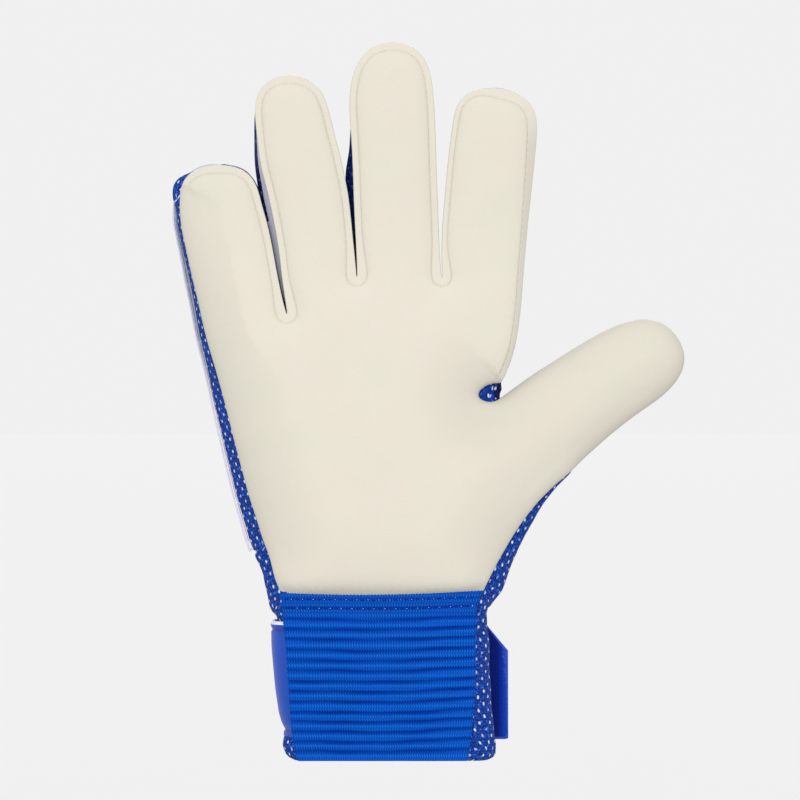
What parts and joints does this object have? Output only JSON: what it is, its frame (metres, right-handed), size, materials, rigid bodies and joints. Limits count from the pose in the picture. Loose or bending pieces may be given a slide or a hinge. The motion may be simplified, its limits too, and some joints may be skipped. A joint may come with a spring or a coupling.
{
  "type": "goalkeeper glove",
  "caption": "Right-hand goalkeeper glove with padded latex palm, wrapped thumb, jointed fingers, ribbed elastic cuff and a wrap-round closure strap.",
  "frame": {"origin": "centre of the wrist opening, at the bottom edge of the cuff", "axes": "+Z from the wrist to the fingertips, -Y out of the palm, +X towards the thumb"},
  "size_m": [0.1919, 0.0291, 0.2699],
  "materials": {
    "palm_latex": "matte natural latex foam, very fine pores, cream",
    "thumb_latex": "matte natural latex foam wrapped round the thumb, cream",
    "back_foam": "smooth pale lilac-grey foam with pressed channels",
    "lining": "soft brushed white lining",
    "mesh": "navy air mesh with staggered white dots",
    "elastic": "bright blue ribbed knit elastic",
    "trim": "woven blue tape",
    "loop_pile": "fuzzy blue loop pile",
    "hook_tape": "dark blue nylon hooks",
    "strap": "smooth violet-blue coated strap, satin"
  },
  "bodies": {
    "cuff": {"ribbed_elastic": "elastic", "cuff_sleeve": "mesh", "cuff_hem_tape": "trim", "cuff_loop_patch": "loop_pile", "strap_anchor": "strap"},
    "hand": {"palm_latex": "palm_latex", "palm_lining": "lining", "back_lining": "lining", "backhand_panel": "back_foam", "backhand_wrist_mesh": "mesh", "little_side_mesh": "mesh", "thumb_side_mesh": "mesh", "index_side_mesh": "mesh", "thumb_web_mesh": "mesh", "fork_mesh_little_ring": "mesh", "fork_mesh_ring_middle": "mesh", "fork_mesh_middle_index": "mesh"},
    "index_lower": {"index_lower_palm": "palm_latex", "index_lower_back": "back_foam", "index_lower_gusset_left": "mesh", "index_lower_gusset_right": "mesh"},
    "index_upper": {"index_upper_palm": "palm_latex", "index_upper_back": "back_foam", "index_upper_gusset": "mesh"},
    "middle_lower": {"middle_lower_palm": "palm_latex", "middle_lower_back": "back_foam", "middle_lower_gusset_left": "mesh", "middle_lower_gusset_right": "mesh"},
    "middle_upper": {"middle_upper_palm": "palm_latex", "middle_upper_back": "back_foam", "middle_upper_gusset": "mesh"},
    "ring_lower": {"ring_lower_palm": "palm_latex", "ring_lower_back": "back_foam", "ring_lower_gusset_left": "mesh", "ring_lower_gusset_right": "mesh"},
    "ring_upper": {"ring_upper_palm": "palm_latex", "ring_upper_back": "back_foam", "ring_upper_gusset": "mesh"},
    "little_lower": {"little_lower_palm": "palm_latex", "little_lower_back": "back_foam", "little_lower_gusset_left": "mesh", "little_lower_gusset_right": "mesh"},
    "little_upper": {"little_upper_palm": "palm_latex", "little_upper_back": "back_foam", "little_upper_gusset": "mesh"},
    "thumb_lower": {"thumb_lower_latex": "thumb_latex", "thumb_lower_back": "back_foam"},
    "thumb_upper": {"thumb_upper_latex": "thumb_latex", "thumb_upper_back": "back_foam"},
    "strap": {"strap_wrap": "strap"},
    "strap_end": {"strap_tail": "strap", "strap_hook_tape": "hook_tape"}
  },
  "joints": [
    {"name": "wrist_flex", "type": "hinge", "parent": "cuff", "child": "hand", "pos_m": [-0.0025, -0.0105, 0.0634], "axis": [1, 0, 0], "range_deg": [0, 60], "stiffness_Nm_per_rad": 0.6},
    {"name": "index_knuckle", "type": "hinge", "parent": "hand", "child": "index_lower", "pos_m": [0.03544, -0.0105, 0.18375], "axis": [0.9992, 0, -0.0393], "range_deg": [0, 85], "stiffness_Nm_per_rad": 0.03},
    {"name": "index_middle_joint", "type": "hinge", "parent": "index_lower", "child": "index_upper", "pos_m": [0.03803, -0.0105, 0.21667], "axis": [0.9992, 0, -0.0393], "range_deg": [0, 95], "stiffness_Nm_per_rad": 0.02},
    {"name": "middle_knuckle", "type": "hinge", "parent": "hand", "child": "middle_lower", "pos_m": [0.00424, -0.0105, 0.18488], "axis": [0.9998, 0, 0.0175], "range_deg": [0, 85], "stiffness_Nm_per_rad": 0.03},
    {"name": "middle_middle_joint", "type": "hinge", "parent": "middle_lower", "child": "middle_upper", "pos_m": [0.00281, -0.0105, 0.22586], "axis": [0.9998, 0, 0.0175], "range_deg": [0, 95], "stiffness_Nm_per_rad": 0.02},
    {"name": "ring_knuckle", "type": "hinge", "parent": "hand", "child": "ring_lower", "pos_m": [-0.02569, -0.0105, 0.1845], "axis": [0.9971, 0, 0.0767], "range_deg": [0, 85], "stiffness_Nm_per_rad": 0.03},
    {"name": "ring_middle_joint", "type": "hinge", "parent": "ring_lower", "child": "ring_upper", "pos_m": [-0.03122, -0.0105, 0.22018], "axis": [0.9971, 0, 0.0767], "range_deg": [0, 95], "stiffness_Nm_per_rad": 0.02},
    {"name": "little_knuckle", "type": "hinge", "parent": "hand", "child": "little_lower", "pos_m": [-0.05494, -0.0105, 0.16988], "axis": [0.9962, 0, 0.0872], "range_deg": [0, 85], "stiffness_Nm_per_rad": 0.03},
    {"name": "little_middle_joint", "type": "hinge", "parent": "little_lower", "child": "little_upper", "pos_m": [-0.05965, -0.0105, 0.19657], "axis": [0.9962, 0, 0.0872], "range_deg": [0, 95], "stiffness_Nm_per_rad": 0.02},
    {"name": "thumb_knuckle", "type": "hinge", "parent": "hand", "child": "thumb_lower", "pos_m": [0.05542, -0.0105, 0.12338], "axis": [0.5807, 0, -0.8141], "range_deg": [0, 50], "stiffness_Nm_per_rad": 0.03},
    {"name": "thumb_tip_joint", "type": "hinge", "parent": "thumb_lower", "child": "thumb_upper", "pos_m": [0.08049, -0.0105, 0.14127], "axis": [0.5807, 0, -0.8141], "range_deg": [0, 70], "stiffness_Nm_per_rad": 0.02},
    {"name": "strap_open", "type": "hinge", "parent": "cuff", "child": "strap", "pos_m": [-0.046, 0.002, 0.0303], "axis": [0, 0, 1], "range_deg": [0, 110]},
    {"name": "strap_end_peel", "type": "hinge", "parent": "strap", "child": "strap_end", "pos_m": [-0.004, 0.0176, 0.0303], "axis": [0, 0, 1], "range_deg": [0, 110]}
  ]
}
